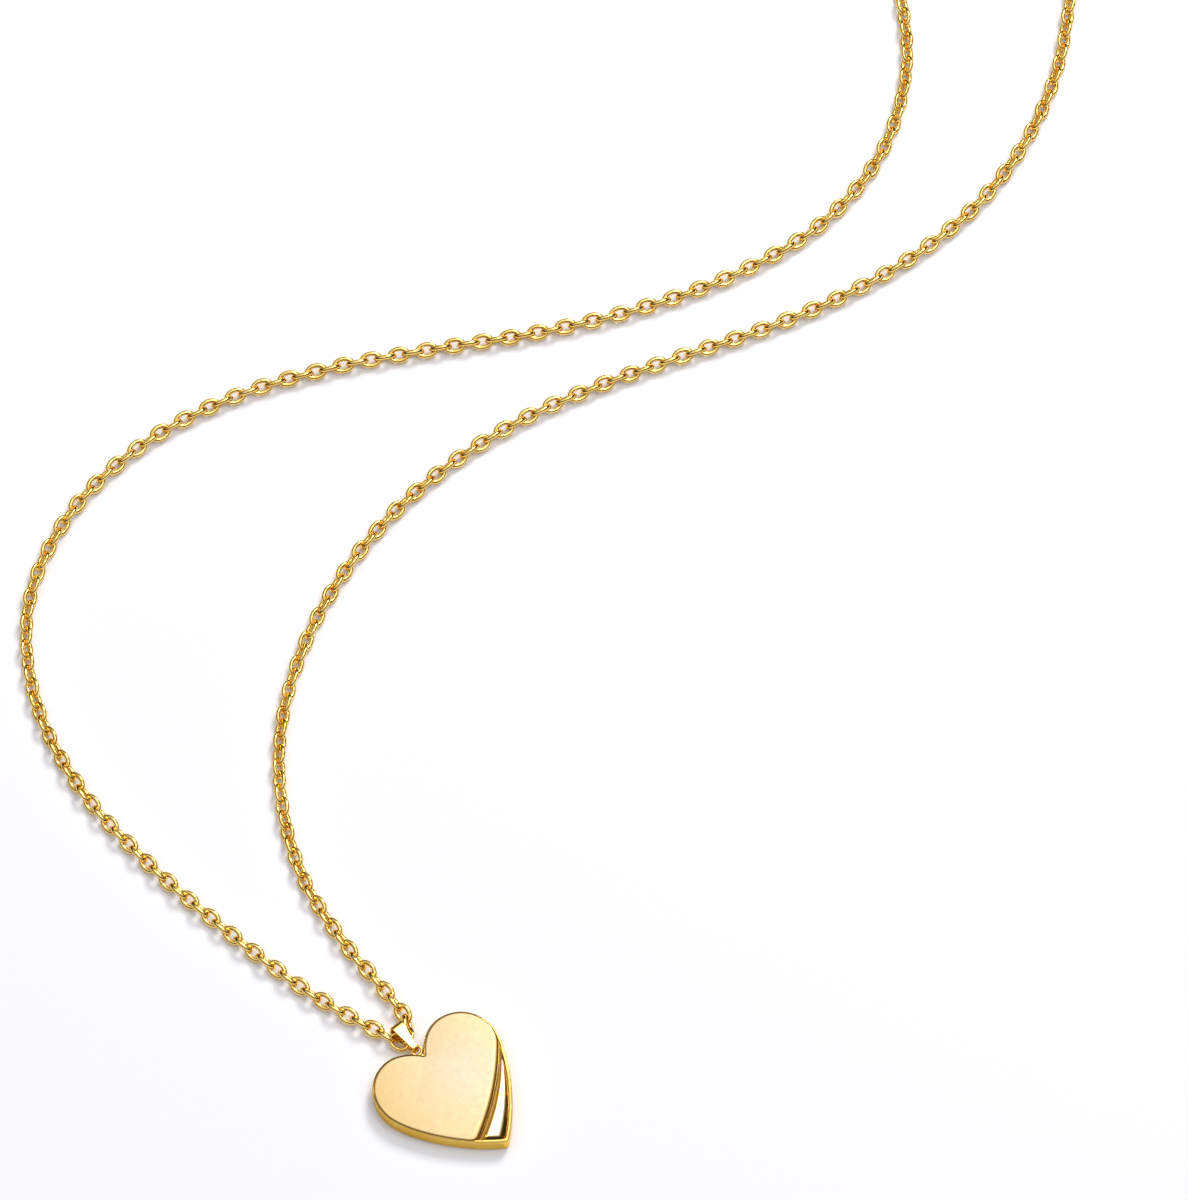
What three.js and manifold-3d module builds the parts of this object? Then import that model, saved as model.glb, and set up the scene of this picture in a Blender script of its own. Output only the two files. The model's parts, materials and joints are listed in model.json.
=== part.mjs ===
// Pendant necklace: a heart pendant on a fine cable chain, with a spring-ring clasp.
// Millimetres, +Z up. The necklace lies on the plane z = 0. The origin is the middle of the
// heart's back, on its widest line. The chain's closed end lies towards +Y.
import * as THREE from "three";
import { mergeVertices } from "three/addons/utils/BufferGeometryUtils.js";
import Module from "manifold-3d";

const wasm = await Module();
wasm.setup();

const GAP = 0.04;

// Heart: the outline's right half as three Bezier curves, from the notch over the lobe to the tip.
const HEART_TURN = THREE.MathUtils.degToRad(42.5);
const HEART_HALF = [
  [[0, 2.2], [0.6, 3.1], [1.94, 4.33], [3.52, 4.33]],
  [[3.52, 4.33], [5.72, 4.33], [7.56, 2.63], [7.56, 0]],
  [[7.56, 0], [7.56, -2.9], [3.5, -8.6], [0, -10.93]],
];
const CURVE_STEPS = 12;
const NOTCH_Y = 2.2;
const TIP_RADIUS = 0.5;
const INNER_TIP_RADIUS = 0.3;
const CASE_TOP = 2.0;
const PLATE_BOTTOM = 1.6;
const PLATE_TOP = 2.1;
const PLATE_INSET = 0.16;
const PLATE_CORNER = 0.45;
const LEDGE_Z = 1.72;
const RECESS_FLOOR = 1.2;
const MIRROR_TOP = 1.38;
const RIM_WIDTH = 0.42;
const CAVITY_WALL = 0.9;
const CAVITY_TOP = 0.9;
const BACK_INSET = 0.54;
const BACK_THICK = 0.3;

// The satin plate ends on one arc, and the polished crescent starts on a tighter one.
const PLATE_ARC = { x: -14.4, y: 17.2, radius: 28.57 };
const CRESCENT_ARC = { x: -11.6, y: 12.35, radius: 23.56 };
const RIDGE_WIDTH = 0.17;
const RIDGE_TOP = 1.9;
const GROOVE_WIDTH = 0.1;
const GROOVE_Z = 1.56;
const ARC_SIDES = 180;
const CORNER_SIDES = 30;
const MITER_LIMIT = 4;
const SIMPLIFY = 0.002;

// Eye ring at the notch, and the bail strap that hangs it on the chain.
const PIVOT_Z = 1.27;
const EYE = { y: 3.3, ring: 0.52, wire: 0.15 };
const LUG = { width: 0.34, height: 0.26, root: 0.6 };
const STRAP_THICK = 0.2;
const STRAP_BEND = { y: EYE.y + EYE.ring, z: PIVOT_Z, r: 0.62 };
const STRAP_CORNER = { y: 6.25, rise: 0.7, r: 0.55 };
const STRAP_NARROW = 0.5;
const STRAP_WIDE = 1.5;
const STRAP_YAW = -2.5;
const BEND_STEPS = 24;

// Cable chain: oval links of round wire, each turned a quarter against the next.
const WIRE = 0.4;
const PITCH = 1.547;
const LINK_PLAY = 0.01;
const LINK_HALF_LENGTH = (PITCH + WIRE) / 2 + LINK_PLAY;
const LINK_HALF_WIDTH = 0.82;
const LINK_STEPS = 18;
const LINK_SIDES = 6;
const ROLL_FACE = -26;
const ROLL_EDGE = 64;
const STRAND_RADIUS = 1.0;
const STRAND_STEPS = 40;
const STRAND_SIDES = 8;

// Spring-ring clasp and the two end rings, in line along X at the far end of the loop.
// Angles are in degrees round the clasp's centre, from +X, and the mouth is centred on +X.
const CLASP = { x: 59.6, y: 161.4, z: 0.62, ring: 2.2, tube: 0.58, bore: 0.4, bolt: 0.32 };
const MOUTH_HALF = 25;
const BOLT_ARC = [-33, 65];
const KNOB = { angle: 50, travel: 55, reach: 3.25, r: 0.32, stem: 0.14 };
const SLOT = { arc: [KNOB.angle - 6, KNOB.angle + KNOB.travel + 6], width: 0.44 };
const SPRING = { arc: [69, 165], turns: 9, wire: 0.07, turnSteps: 8 };
const CLASP_EYE = { ring: 0.42, wire: 0.15 };
const LEFT_RING = { ring: 0.95, wire: 0.19, tilt: -9 };
const RIGHT_RING = { ring: 1.25, wire: 0.22, tilt: 15, z: 0.26, clear: 0.5 };
const ROD_SIDES = 8;
const RING_STEPS = 22;

const finish = (color, roughness) => new THREE.MeshStandardMaterial({ color, roughness, metalness: 1 });
const POLISHED = finish("#e3b448", 0.18);
const SATIN = finish("#f0d29a", 0.5);
const MIRROR = finish("#fff0c8", 0.04);
const STEEL = finish("#c9c9cc", 0.3);

const necklace = new THREE.Group();

function addMesh(parent, name, geometry, material) {
  const mesh = new THREE.Mesh(geometry, material);
  mesh.name = name;
  parent.add(mesh);
  return mesh;
}

function toSolid(geometry) {
  geometry.deleteAttribute("normal");
  geometry.deleteAttribute("uv");
  const merged = mergeVertices(geometry);
  return new wasm.Manifold(new wasm.Mesh({
    numProp: 3,
    vertProperties: new Float32Array(merged.attributes.position.array),
    triVerts: new Uint32Array(merged.index.array),
  }));
}

function fromSolid(solid) {
  const mesh = solid.getMesh();
  const geometry = new THREE.BufferGeometry();
  geometry.setAttribute("position", new THREE.BufferAttribute(mesh.vertProperties, 3));
  geometry.setIndex(new THREE.BufferAttribute(mesh.triVerts, 1));
  geometry.computeVertexNormals();
  return geometry;
}

function prism(points, low, high) {
  const shape = new THREE.Shape(points);
  const geometry = new THREE.ExtrudeGeometry(shape, { depth: high - low, bevelEnabled: false });
  geometry.translate(0, 0, low);
  return toSolid(geometry);
}

function heartOutline() {
  const right = [];
  for (const corners of HEART_HALF) {
    const curve = new THREE.CubicBezierCurve(...corners.map(([x, y]) => new THREE.Vector2(x, y)));
    right.push(...curve.getPoints(CURVE_STEPS).slice(0, -1).map(({ x, y }) => [x, y]));
  }
  const tip = HEART_HALF.at(-1).at(-1);
  const left = right.slice(1).reverse().map(([x, y]) => [-x, y]);
  return new wasm.CrossSection([[...right, tip, ...left].reverse()]);
}

// Rounds a section's outward corners to radius.
function roundCorners(section, radius) {
  return section.offset(-radius, "Miter", MITER_LIMIT)
    .offset(radius, "Round", MITER_LIMIT, CORNER_SIDES).simplify(SIMPLIFY);
}

const heartEdge = heartOutline();

function heartSection(inset) {
  const radius = Math.max(TIP_RADIUS - inset, INNER_TIP_RADIUS);
  return roundCorners(heartEdge.offset(-inset, "Miter", MITER_LIMIT), radius);
}

function between(section, low, high) {
  return section.extrude(high - low).translate([0, 0, low]);
}

function heartPrism(inset, low, high) {
  return between(heartSection(inset), low, high);
}

function discSection(arc, grow) {
  return wasm.CrossSection.circle(arc.radius + grow, ARC_SIDES).translate([arc.x, arc.y]);
}

function disc(arc, grow, low, high) {
  return between(discSection(arc, grow), low, high);
}

function plateSection() {
  return roundCorners(heartSection(PLATE_INSET).intersect(discSection(PLATE_ARC, 0)), PLATE_CORNER);
}

function heartCase() {
  const above = PLATE_TOP + 1;
  const seatSection = plateSection().offset(GAP, "Miter", MITER_LIMIT).simplify(SIMPLIFY);
  const seat = between(seatSection, PLATE_BOTTOM - GAP, above);
  const band = heartPrism(RIM_WIDTH / 2, LEDGE_Z, above).intersect(disc(CRESCENT_ARC, 0, 0, above));
  const grooveOuter = -RIDGE_WIDTH - GAP;
  const groove = heartPrism(RIM_WIDTH, GROOVE_Z, above)
    .intersect(disc(CRESCENT_ARC, grooveOuter, 0, above))
    .subtract(disc(CRESCENT_ARC, grooveOuter - GROOVE_WIDTH, 0, above));
  const recess = heartPrism(RIM_WIDTH, RECESS_FLOOR, above).subtract(disc(CRESCENT_ARC, 0, 0, above));
  const cavity = heartPrism(CAVITY_WALL, -1, CAVITY_TOP);
  const backSeat = heartPrism(BACK_INSET - GAP, -1, BACK_THICK + GAP);
  const lugFar = EYE.y - EYE.ring - EYE.wire - GAP;
  const lugNear = NOTCH_Y - LUG.root;
  const lug = new THREE.BoxGeometry(LUG.width, lugFar - lugNear, LUG.height);
  lug.translate(0, (lugFar + lugNear) / 2, PIVOT_Z);
  return fromSolid(
    heartPrism(0, 0, CASE_TOP)
      .subtract(seat).subtract(band).subtract(groove).subtract(recess).subtract(cavity)
      .subtract(backSeat).add(toSolid(lug)),
  );
}

function satinPlate() {
  return fromSolid(between(plateSection(), PLATE_BOTTOM, PLATE_TOP));
}

function crescentMirror() {
  const solid = heartPrism(RIM_WIDTH + GAP, RECESS_FLOOR + GAP, MIRROR_TOP);
  return fromSolid(solid.subtract(disc(CRESCENT_ARC, GAP, 0, PLATE_TOP)));
}

function ridgeWire() {
  const solid = heartPrism(RIM_WIDTH, LEDGE_Z + GAP, RIDGE_TOP)
    .intersect(disc(CRESCENT_ARC, -GAP, 0, PLATE_TOP));
  return fromSolid(solid.subtract(disc(CRESCENT_ARC, -RIDGE_WIDTH, 0, PLATE_TOP)));
}

// The outline around a few circles pulled tight, like a belt round pulleys, as (y, z) points.
function beltOutline(circles) {
  const points = [];
  for (const { y, z, r } of circles) {
    for (let step = 0; step < BEND_STEPS; step += 1) {
      const angle = (step / BEND_STEPS) * 2 * Math.PI;
      points.push(new THREE.Vector2(y + r * Math.cos(angle), z + r * Math.sin(angle)));
    }
  }
  points.sort((a, b) => a.x - b.x || a.y - b.y);
  const chain = (sorted) => {
    const hull = [];
    for (const point of sorted) {
      while (hull.length > 1) {
        const [a, b] = hull.slice(-2);
        if ((b.x - a.x) * (point.y - a.y) - (b.y - a.y) * (point.x - a.x) > 1e-6) break;
        hull.pop();
      }
      hull.push(point);
    }
    return hull.slice(0, -1);
  };
  return [...chain(points), ...chain([...points].reverse())];
}

function bailStrap() {
  const loop = (shrink) => beltOutline([
    { y: STRAP_BEND.y, z: STRAP_BEND.z, r: STRAP_BEND.r - shrink },
    { y: STRAP_CORNER.y, z: PIVOT_Z + STRAP_CORNER.rise, r: STRAP_CORNER.r - shrink },
    { y: STRAP_CORNER.y, z: PIVOT_Z - STRAP_CORNER.rise, r: STRAP_CORNER.r - shrink },
  ]);
  const across = prism(loop(0), -STRAP_WIDE, STRAP_WIDE)
    .subtract(prism(loop(STRAP_THICK), -STRAP_WIDE - 1, STRAP_WIDE + 1));
  const standing = across.rotate([90, 0, 0]).rotate([0, 0, 90]);
  const low = STRAP_BEND.y - STRAP_BEND.r;
  const high = STRAP_CORNER.y + STRAP_CORNER.r;
  const top = PIVOT_Z + STRAP_CORNER.rise + STRAP_CORNER.r;
  const taper = prism([
    new THREE.Vector2(-STRAP_NARROW / 2, low - GAP),
    new THREE.Vector2(STRAP_NARROW / 2, low - GAP),
    new THREE.Vector2(STRAP_WIDE / 2, high + GAP),
    new THREE.Vector2(-STRAP_WIDE / 2, high + GAP),
  ], -1, top + 1);
  const strap = standing.intersect(taper).translate([0, -STRAP_BEND.y, 0]);
  return fromSolid(strap.rotate([0, 0, STRAP_YAW]).translate([0, STRAP_BEND.y, 0]));
}

function addHeart(parent) {
  addMesh(parent, "heart_case", heartCase(), POLISHED);
  addMesh(parent, "satin_front_plate", satinPlate(), SATIN);
  addMesh(parent, "crescent_mirror", crescentMirror(), MIRROR);
  addMesh(parent, "crescent_ridge_wire", ridgeWire(), POLISHED);
  addMesh(parent, "heart_back_plate", fromSolid(heartPrism(BACK_INSET, 0, BACK_THICK)), POLISHED);
  const eye = new THREE.TorusGeometry(EYE.ring, EYE.wire, ROD_SIDES, RING_STEPS);
  addMesh(parent, "heart_eye_ring", eye, POLISHED).position.set(0, EYE.y, PIVOT_Z);
  addMesh(parent, "bail_strap", bailStrap(), POLISHED);
}

class LinkCurve extends THREE.Curve {
  getPoint(t, target = new THREE.Vector3()) {
    const angle = 2 * Math.PI * t;
    return target.set(LINK_HALF_LENGTH * Math.cos(angle), LINK_HALF_WIDTH * Math.sin(angle), 0);
  }
}

function headingVector(degrees, climb) {
  const turn = THREE.MathUtils.degToRad(degrees);
  return new THREE.Vector3(Math.cos(turn), Math.sin(turn), climb).normalize();
}

// A link whose long axis runs along heading, rolled about it by roll degrees from lying flat.
// It returns the middle of the wire at the link's far end.
function addLink(name, centre, heading, roll) {
  const geometry = new THREE.TubeGeometry(new LinkCurve(), LINK_STEPS, WIRE / 2, LINK_SIDES, true);
  const mesh = addMesh(necklace, name, geometry, POLISHED);
  const side = new THREE.Vector3(0, 0, 1).cross(heading).normalize();
  const up = heading.clone().cross(side);
  const upright = new THREE.Matrix4().makeBasis(heading, side, up);
  const rolled = new THREE.Matrix4().makeRotationX(THREE.MathUtils.degToRad(roll));
  mesh.quaternion.setFromRotationMatrix(upright.multiply(rolled));
  mesh.position.copy(centre);
  return centre.clone().addScaledVector(heading, LINK_HALF_LENGTH);
}

// Links hooked one after another, away from a wire at wireCentre that points along headingBefore.
// Each entry of run is [heading in degrees, roll].
function addRun(prefix, firstNumber, wireCentre, headingBefore, run) {
  let wire = wireCentre;
  let before = headingBefore;
  run.forEach(([degrees, roll], index) => {
    const heading = headingVector(degrees, 0);
    const pull = before.clone().add(heading).normalize();
    const hooked = wire.clone().addScaledVector(pull, -(WIRE + 2 * LINK_PLAY));
    const centre = hooked.addScaledVector(heading, LINK_HALF_LENGTH);
    wire = addLink(`${prefix}_${firstNumber + index}`, centre, heading, roll);
    before = heading;
  });
}

// Links at the sharp turn of the chain in the bail: name, centre, heading, climb and roll.
const BAIL_LINKS = [
  ["bail_link", [-3.39, 4.17, 1.22], 76, -0.16, -22.5],
  ["left_link_1", [-4.1, 3.57, 1.03], 146, 0.08, -22],
  ["right_link_1", [-3.25, 5.5, 1.12], 102, -0.1, ROLL_EDGE],
  ["left_link_2", [-5.47, 4.25, 0.94], 148, 0, ROLL_EDGE],
  ["right_link_2", [-3.75, 6.85, 0.94], 124, 0, ROLL_FACE],
];
const LEFT_RUN = [[151, ROLL_FACE], [150, ROLL_EDGE], [149, ROLL_FACE], [148, ROLL_EDGE]];
const RIGHT_RUN = [[127, ROLL_EDGE], [128, ROLL_FACE], [129, ROLL_EDGE], [129, ROLL_FACE]];
const LEFT_END_RUN = [[196, ROLL_EDGE], [214, ROLL_FACE], [232, ROLL_EDGE]];
const RIGHT_END_RUN = [[-16, -ROLL_EDGE], [-34, -ROLL_FACE], [-52, -ROLL_EDGE]];

function addChainEnds() {
  const ends = {};
  for (const [name, centre, degrees, climb, roll] of BAIL_LINKS) {
    const heading = headingVector(degrees, climb);
    ends[name] = [addLink(name, new THREE.Vector3(...centre), heading, roll), heading];
  }
  addRun("left_link", 3, ...ends.left_link_2, LEFT_RUN);
  addRun("right_link", 3, ...ends.right_link_2, RIGHT_RUN);
}

// Routes of the two strands, from the bail outwards to the clasp, as (x, y) points.
const LEFT_ROUTE = [
  [-12.0, 8.2], [-14.1, 9.6], [-22.8, 16.7], [-31.1, 24.4], [-38.4, 33.1], [-43.3, 43.3], [-44.3, 54.5],
  [-40.4, 65.0], [-32.8, 73.5], [-23.2, 79.3], [-12.4, 83.0], [-1.3, 85.3], [9.8, 87.3],
  [20.8, 90.2], [31.3, 94.4], [40.9, 100.6], [47.7, 109.4], [50.8, 120.2], [50.2, 130.6],
  [48.6, 140.0], [47.5, 148.5], [48.2, 154.2], [50.4, 158.3],
];
const RIGHT_ROUTE = [
  [-8.5, 12.9], [-9.4, 14.1], [-14.2, 21.9], [-16.8, 31.0], [-17.0, 40.2], [-14.8, 49.4], [-10.8, 57.9],
  [-5.3, 65.5], [1.6, 72.0], [9.3, 77.2], [17.8, 81.3], [26.5, 84.7], [35.4, 88.1],
  [43.8, 92.1], [51.7, 97.2], [58.6, 103.6], [63.9, 111.4], [67.4, 120.0], [69.2, 129.6],
  [70.9, 139.5], [71.8, 148.0], [71.4, 153.8], [69.5, 158.3],
];

function roundSection(radius, sides) {
  const circle = new THREE.Path().absarc(0, 0, radius, 0, 2 * Math.PI);
  return new THREE.Shape(circle.getPoints(sides).slice(0, -1));
}

function addStrand(name, route) {
  const points = route.map(([x, y]) => new THREE.Vector3(x, y, STRAND_RADIUS));
  const section = roundSection(STRAND_RADIUS, STRAND_SIDES);
  const extrudePath = new THREE.CatmullRomCurve3(points, false, "centripetal");
  const geometry = new THREE.ExtrudeGeometry(section, { steps: STRAND_STEPS, extrudePath });
  addMesh(necklace, name, geometry, POLISHED);
}

class ArcCurve extends THREE.Curve {
  constructor(radius, from, to) {
    super();
    Object.assign(this, { radius, from, to });
  }

  getPoint(t, target = new THREE.Vector3()) {
    const angle = THREE.MathUtils.degToRad(THREE.MathUtils.lerp(this.from, this.to, t));
    return target.set(this.radius * Math.cos(angle), this.radius * Math.sin(angle), 0);
  }
}

function bentRod(radius, arc, thick, stepDegrees) {
  const section = roundSection(thick, ROD_SIDES);
  const steps = Math.ceil((arc[1] - arc[0]) / stepDegrees);
  return toSolid(new THREE.ExtrudeGeometry(section, { steps, extrudePath: new ArcCurve(radius, ...arc) }));
}

function claspTube() {
  const outside = bentRod(CLASP.ring, [MOUTH_HALF, 360 - MOUTH_HALF], CLASP.tube, 12);
  const bore = bentRod(CLASP.ring, [MOUTH_HALF - 2, 362 - MOUTH_HALF], CLASP.bore, 12);
  const [slotLow, slotHigh] = SLOT.arc.map(THREE.MathUtils.degToRad);
  const outline = new THREE.Shape()
    .absarc(0, 0, CLASP.ring + 2 * CLASP.tube, slotLow, slotHigh, false)
    .absarc(0, 0, CLASP.ring, slotHigh, slotLow, true);
  const slot = prism(outline.getPoints(8), -SLOT.width / 2, SLOT.width / 2);
  return fromSolid(outside.subtract(bore).subtract(slot));
}

function claspBolt() {
  const stem = new THREE.CylinderGeometry(KNOB.stem, KNOB.stem, KNOB.reach - CLASP.ring, 10);
  stem.rotateZ(-Math.PI / 2);
  stem.translate((KNOB.reach + CLASP.ring) / 2, 0, 0);
  const knob = new THREE.SphereGeometry(KNOB.r, 12, 8);
  knob.translate(KNOB.reach, 0, 0);
  const lever = toSolid(stem).add(toSolid(knob)).rotate([0, 0, KNOB.angle]);
  return fromSolid(bentRod(CLASP.ring, BOLT_ARC, CLASP.bolt, 8).add(lever));
}

class SpringCurve extends THREE.Curve {
  getPoint(t, target = new THREE.Vector3()) {
    const along = THREE.MathUtils.degToRad(THREE.MathUtils.lerp(...SPRING.arc, t));
    const turn = 2 * Math.PI * SPRING.turns * t;
    const coil = CLASP.bore - SPRING.wire - GAP;
    const reach = CLASP.ring + coil * Math.cos(turn);
    return target.set(reach * Math.cos(along), reach * Math.sin(along), coil * Math.sin(turn));
  }
}

function claspSpring() {
  const steps = SPRING.turns * SPRING.turnSteps;
  const section = roundSection(SPRING.wire, 4);
  return new THREE.ExtrudeGeometry(section, { steps, extrudePath: new SpringCurve() });
}

// A ring whose near side lies at (x, z), leaning up by its tilt from lying flat along X.
// It returns the middle of the wire on its far side.
function addRing(parent, name, size, direction, x, z) {
  const geometry = new THREE.TorusGeometry(size.ring, size.wire, ROD_SIDES, RING_STEPS);
  const mesh = addMesh(parent, name, geometry, POLISHED);
  const tilt = THREE.MathUtils.degToRad(size.tilt);
  const across = new THREE.Vector3(Math.cos(tilt), 0, Math.sin(tilt)).multiplyScalar(direction * size.ring);
  const near = new THREE.Vector3(x, 0, z);
  mesh.rotateY(-tilt);
  mesh.position.copy(near).add(across);
  return near.addScaledVector(across, 2).add(parent.position);
}

function addClasp() {
  const clasp = new THREE.Group();
  clasp.position.set(CLASP.x, CLASP.y, CLASP.z);
  necklace.add(clasp);
  addMesh(clasp, "clasp_tube", claspTube(), POLISHED);
  addMesh(clasp, "clasp_bolt", claspBolt(), POLISHED);
  addMesh(clasp, "clasp_spring", claspSpring(), STEEL);
  const eyeX = -(CLASP.ring + CLASP.tube + GAP + CLASP_EYE.ring + CLASP_EYE.wire);
  const eye = new THREE.TorusGeometry(CLASP_EYE.ring, CLASP_EYE.wire, ROD_SIDES, RING_STEPS);
  addMesh(clasp, "clasp_eye", eye.rotateX(Math.PI / 2).translate(eyeX, 0, 0), POLISHED);
  const rightX = CLASP.ring + CLASP.tube + RIGHT_RING.clear + RIGHT_RING.wire
    + RIGHT_RING.ring * (1 - Math.cos(THREE.MathUtils.degToRad(RIGHT_RING.tilt)));
  return [
    addRing(clasp, "left_end_ring", LEFT_RING, -1, eyeX, 0),
    addRing(clasp, "right_end_ring", RIGHT_RING, 1, rightX, RIGHT_RING.z - CLASP.z),
  ];
}

const heart = new THREE.Group();
heart.rotation.z = HEART_TURN;
necklace.add(heart);
addHeart(heart);
addChainEnds();
const [leftWire, rightWire] = addClasp();
addRun("left_end_link", 1, leftWire, headingVector(180, 0), LEFT_END_RUN);
addRun("right_end_link", 1, rightWire, headingVector(0, 0), RIGHT_END_RUN);
addStrand("strand_left", LEFT_ROUTE);
addStrand("strand_right", RIGHT_ROUTE);

export default necklace;
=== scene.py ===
"""Looks of the pendant necklace: gold cable chain, satin and mirror heart, folded bail, spring-ring clasp.

Lengths are in millimetres and MM turns them into metres; the camera and the lamps are in metres.
Heart shapes are drawn in the heart's own frame, x across and y from tip to notch, and are then turned
into the necklace's.
"""
import json
import math

import bpy
import numpy as np
from mathutils import Matrix, Vector


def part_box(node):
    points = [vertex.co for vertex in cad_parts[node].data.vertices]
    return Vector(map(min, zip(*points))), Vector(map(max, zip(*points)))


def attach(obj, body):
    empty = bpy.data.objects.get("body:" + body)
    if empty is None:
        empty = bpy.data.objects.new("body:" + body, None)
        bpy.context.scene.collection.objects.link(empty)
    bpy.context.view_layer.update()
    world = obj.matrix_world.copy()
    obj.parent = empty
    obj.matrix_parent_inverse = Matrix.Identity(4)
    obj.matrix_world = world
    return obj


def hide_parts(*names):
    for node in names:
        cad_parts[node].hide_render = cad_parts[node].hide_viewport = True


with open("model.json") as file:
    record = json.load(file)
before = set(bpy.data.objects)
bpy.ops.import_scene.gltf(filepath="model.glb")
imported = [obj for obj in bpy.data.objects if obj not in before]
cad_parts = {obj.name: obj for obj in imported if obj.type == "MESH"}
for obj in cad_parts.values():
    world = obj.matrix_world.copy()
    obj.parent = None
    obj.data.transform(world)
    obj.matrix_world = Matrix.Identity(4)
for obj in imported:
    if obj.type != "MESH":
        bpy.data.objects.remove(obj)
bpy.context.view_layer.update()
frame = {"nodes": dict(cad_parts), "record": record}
NODES = frame["nodes"]
MM = 0.001

# ---------------------------------------------------------------- camera

VIEW_ELEVATION = math.radians(64.1)
VIEW_TARGET = Vector((0.01628, 0.05542, 0.0))
VIEW_DISTANCE = 0.9246
VIEW_LENS = 258.5
VIEW_SENSOR = 36
VIEW_REACH = 10


def make_camera():
    data = bpy.data.cameras.new("camera")
    data.lens = VIEW_LENS
    data.sensor_width = VIEW_SENSOR
    data.clip_end = VIEW_REACH
    camera = bpy.data.objects.new("camera", data)
    bpy.context.scene.collection.objects.link(camera)
    towards = Vector((0, math.cos(VIEW_ELEVATION), -math.sin(VIEW_ELEVATION)))
    camera.location = VIEW_TARGET - towards * VIEW_DISTANCE
    camera.rotation_euler = (math.pi / 2 - VIEW_ELEVATION, 0, 0)
    bpy.context.scene.camera = camera


# ---------------------------------------------------------------- meshes

def add_piece(name, vertices, faces, material=None):
    """A smooth-shaded mesh object from points in metres."""
    mesh = bpy.data.meshes.new(name)
    mesh.from_pydata(np.asarray(vertices, float).tolist(), [], [list(face) for face in faces])
    mesh.validate()
    piece = bpy.data.objects.new(name, mesh)
    bpy.context.scene.collection.objects.link(piece)
    if material is not None:
        mesh.materials.append(material)
    mesh.shade_smooth()
    return piece


def tube_faces(rows, sides, closed, first=0):
    """Quads between rings of points, wound outwards, with end caps on an open tube."""
    faces = []
    last = rows if closed else rows - 1
    for row in range(last):
        a = first + row * sides
        b = first + (row + 1) % rows * sides
        for side in range(sides):
            after = (side + 1) % sides
            faces.append((a + side, a + after, b + after, b + side))
    if not closed:
        faces.append(tuple(first + side for side in reversed(range(sides))))
        end = first + (rows - 1) * sides
        faces.append(tuple(end + side for side in range(sides)))
    return faces


def sweep(line, radius, sides, closed, up=(0, 0, 1)):
    """Vertices and faces of a round rod along a line. radius may be one number or one for each point."""
    line = np.asarray(line, float)
    if closed:
        tangent = np.roll(line, -1, 0) - np.roll(line, 1, 0)
    else:
        tangent = np.gradient(line, axis=0)
    tangent /= np.linalg.norm(tangent, axis=1)[:, None]
    across = np.cross(tangent, np.asarray(up, float))
    across /= np.linalg.norm(across, axis=1)[:, None]
    over = np.cross(tangent, across)
    turn = np.linspace(0, 2 * np.pi, sides, endpoint=False)
    size = np.broadcast_to(np.asarray(radius, float), (len(line),))
    ring = across[:, None] * np.cos(turn)[None, :, None] + over[:, None] * np.sin(turn)[None, :, None]
    points = line[:, None] + ring * size[:, None, None]
    return points.reshape(-1, 3), tube_faces(len(line), sides, closed)


def only_material(piece, *materials):
    """Puts a piece's materials back after it was cut."""
    piece.data.materials.clear()
    for material in materials:
        piece.data.materials.append(material)


def combine(piece, other, operation):
    """Cuts, joins or keeps the overlap of two closed meshes, and removes the second one."""
    modifier = piece.modifiers.new("combine", "BOOLEAN")
    modifier.operation = operation
    modifier.solver = "MANIFOLD"
    modifier.object = other
    bpy.context.view_layer.update()
    graph = bpy.context.evaluated_depsgraph_get()
    made = bpy.data.meshes.new_from_object(piece.evaluated_get(graph))
    piece.modifiers.clear()
    piece.data = made
    bpy.data.objects.remove(other)
    return piece


def smooth(piece, angle):
    """Shades a piece smooth, and keeps the edges that bend by more than an angle in degrees crisp."""
    piece.data.shade_smooth()
    piece.data.set_sharp_from_angle(angle=math.radians(angle))
    return piece


def finish_piece(piece, body, slot, *replaced):
    """Hangs a piece under its body and hides the CAD nodes it stands for. The slot argument is not used."""
    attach(piece, body)
    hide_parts(*replaced)
    return piece


# ---------------------------------------------------------------- materials

# Colours are linear red, green and blue. Noise scales are in waves per metre.
EDGE_GOLD = (1.0, 0.82, 0.45)
CHAIN_GOLD = ((1.0, 0.71, 0.22), (0.92, 0.60, 0.15))
POLISHED_GOLD = ((0.92, 0.62, 0.16), (0.85, 0.54, 0.12))
# Painted shade: a much darker gold for the step, ledge, groove and ridge between the satin plate and the
# mirror.
LEDGE_SHADED_GOLD = ((0.32, 0.18, 0.035), (0.25, 0.135, 0.022))
# Painted reflection on the mirror: a pale painted highlight on the flat floor, then painted shade of a
# deeper, drifting yellow up the curl to the rim, changing between the two rises over the floor that follow.
MIRROR_PAINTED_HIGHLIGHT = (0.95, 0.77, 0.45)
MIRROR_CURL_SHADE = ((0.93, 0.56, 0.14), (0.90, 0.52, 0.12))
MIRROR_SHADE_RISE = (0.004, 0.09)
# Painted sheen on the satin plate: a deeper gold far from a point on its face, turning paler towards it.
SATIN_PAINTED_SHEEN = [(0.0, (0.71, 0.48, 0.18)), (0.42, (0.68, 0.52, 0.27)), (0.9, (0.65, 0.55, 0.38))]
SATIN_GRAIN = [(0.3, (0.93, 0.92, 0.90)), (0.7, (1.0, 1.0, 1.0))]
# Painted shade on the plate's rounded edge: a deeper gold, taken on as the edge drops below the plate's top
# between the two depths that follow.
SATIN_EDGE_SHADE = (0.58, 0.34, 0.07)
SATIN_SHADE_DEPTHS = (0.06, 0.001)
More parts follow.
